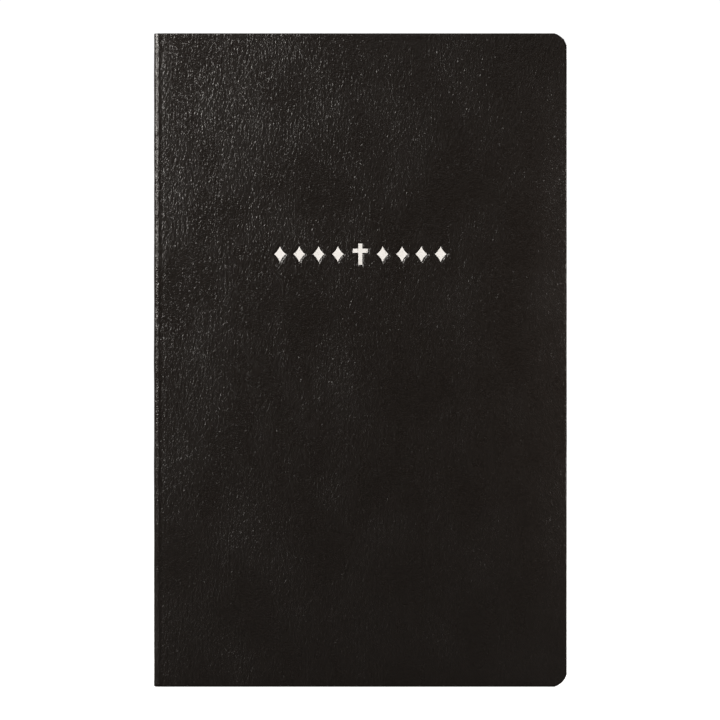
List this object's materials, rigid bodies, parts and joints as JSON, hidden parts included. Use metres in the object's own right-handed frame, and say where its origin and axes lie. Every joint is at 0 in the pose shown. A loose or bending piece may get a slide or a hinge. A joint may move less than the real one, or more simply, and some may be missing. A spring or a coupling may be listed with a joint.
{
  "type": "bible",
  "caption": "Slim soft-cover Bible in black imitation leather with stamped foil ornament; covers, flyleaves and a middle opening with fanning leaves turn on upright hinges.",
  "frame": {"origin": "on the floor, under the middle of the closed book, which stands on its tail edge", "axes": "+X from the spine to the fore-edge, +Y from the front cover to the back cover, +Z from the tail to the head"},
  "size_m": [0.1326, 0.0264, 0.21],
  "materials": {
    "leather": "fine pebbled grain, satin",
    "foil": "hot-stamped pale foil, satin",
    "card": "matte",
    "endpaper": "smooth, uncoated",
    "paper": "thin, smooth, uncoated",
    "glue": "dried binding adhesive",
    "mull": "open cotton gauze",
    "kraft": "matte kraft paper"
  },
  "bodies": {
    "back_half": {"section_10": "paper", "section_11": "paper", "section_12": "paper", "section_13": "paper", "section_14": "paper", "section_15": "paper", "section_16": "paper", "section_17": "paper", "section_18": "paper", "spine_leather_back": "leather", "spine_lining_back": "kraft", "spine_mull_back": "mull", "spine_glue_back": "glue"},
    "front_half": {"section_01": "paper", "section_02": "paper", "section_03": "paper", "section_04": "paper", "section_05": "paper", "section_06": "paper", "section_07": "paper", "section_08": "paper", "section_09": "paper", "spine_leather_front": "leather", "spine_lining_front": "kraft", "spine_mull_front": "mull", "spine_glue_front": "glue"},
    "front_cover": {"front_cover_leather": "leather", "front_cover_card": "card", "front_pastedown": "endpaper", "foil_cross": "foil", "foil_lozenge_left_1": "foil", "foil_lozenge_left_2": "foil", "foil_lozenge_left_3": "foil", "foil_lozenge_left_4": "foil", "foil_lozenge_right_1": "foil", "foil_lozenge_right_2": "foil", "foil_lozenge_right_3": "foil", "foil_lozenge_right_4": "foil"},
    "back_cover": {"back_cover_leather": "leather", "back_cover_card": "card", "back_pastedown": "endpaper"},
    "front_flyleaf_sheet": {"front_flyleaf": "endpaper"},
    "back_flyleaf_sheet": {"back_flyleaf": "endpaper"},
    "left_sheet_1": {"left_leaf_1": "paper"},
    "left_sheet_2": {"left_leaf_2": "paper"},
    "left_sheet_3": {"left_leaf_3": "paper"},
    "right_sheet_1": {"right_leaf_1": "paper"},
    "right_sheet_2": {"right_leaf_2": "paper"},
    "right_sheet_3": {"right_leaf_3": "paper"}
  },
  "joints": [
    {"name": "middle_opening", "type": "hinge", "parent": "back_half", "child": "front_half", "pos_m": [-0.06665, 0, 0.105], "axis": [0, 0, -1], "range_deg": [0, 180]},
    {"name": "front_cover_hinge", "type": "hinge", "parent": "front_half", "child": "front_cover", "pos_m": [-0.06665, -0.01353, 0.105], "axis": [0, 0, -1], "range_deg": [0, 170]},
    {"name": "back_cover_hinge", "type": "hinge", "parent": "back_half", "child": "back_cover", "pos_m": [-0.06665, 0.01353, 0.105], "axis": [0, 0, 1], "range_deg": [0, 170]},
    {"name": "front_flyleaf_lift", "type": "hinge", "parent": "front_half", "child": "front_flyleaf_sheet", "pos_m": [-0.0647, -0.01188, 0.105], "axis": [0, 0, -1], "range_deg": [0, 8.5]},
    {"name": "back_flyleaf_lift", "type": "hinge", "parent": "back_half", "child": "back_flyleaf_sheet", "pos_m": [-0.0647, 0.01188, 0.105], "axis": [0, 0, 1], "range_deg": [0, 8.5]},
    {"name": "left_leaf_1_turn", "type": "hinge", "parent": "front_half", "child": "left_sheet_1", "pos_m": [-0.06665, 0, 0.105], "axis": [0, 0, 1], "range_deg": [0, 18]},
    {"name": "left_leaf_2_turn", "type": "hinge", "parent": "front_half", "child": "left_sheet_2", "pos_m": [-0.06665, 0, 0.105], "axis": [0, 0, 1], "range_deg": [0, 9]},
    {"name": "left_leaf_3_turn", "type": "hinge", "parent": "front_half", "child": "left_sheet_3", "pos_m": [-0.06665, 0, 0.105], "axis": [0, 0, 1], "range_deg": [0, 3.6]},
    {"name": "right_leaf_1_turn", "type": "hinge", "parent": "back_half", "child": "right_sheet_1", "pos_m": [-0.06665, 0, 0.105], "axis": [0, 0, -1], "range_deg": [0, 23.4]},
    {"name": "right_leaf_2_turn", "type": "hinge", "parent": "back_half", "child": "right_sheet_2", "pos_m": [-0.06665, 0, 0.105], "axis": [0, 0, -1], "range_deg": [0, 12.6]},
    {"name": "right_leaf_3_turn", "type": "hinge", "parent": "back_half", "child": "right_sheet_3", "pos_m": [-0.06665, 0, 0.105], "axis": [0, 0, -1], "range_deg": [0, 5.4]}
  ],
  "couplings": [
    {"joint": "front_flyleaf_lift", "follows": "front_cover_hinge", "ratio": 0.05},
    {"joint": "back_flyleaf_lift", "follows": "back_cover_hinge", "ratio": 0.05},
    {"joint": "left_leaf_1_turn", "follows": "middle_opening", "ratio": 0.1},
    {"joint": "left_leaf_2_turn", "follows": "middle_opening", "ratio": 0.05},
    {"joint": "left_leaf_3_turn", "follows": "middle_opening", "ratio": 0.02},
    {"joint": "right_leaf_1_turn", "follows": "middle_opening", "ratio": 0.13},
    {"joint": "right_leaf_2_turn", "follows": "middle_opening", "ratio": 0.07},
    {"joint": "right_leaf_3_turn", "follows": "middle_opening", "ratio": 0.03}
  ]
}
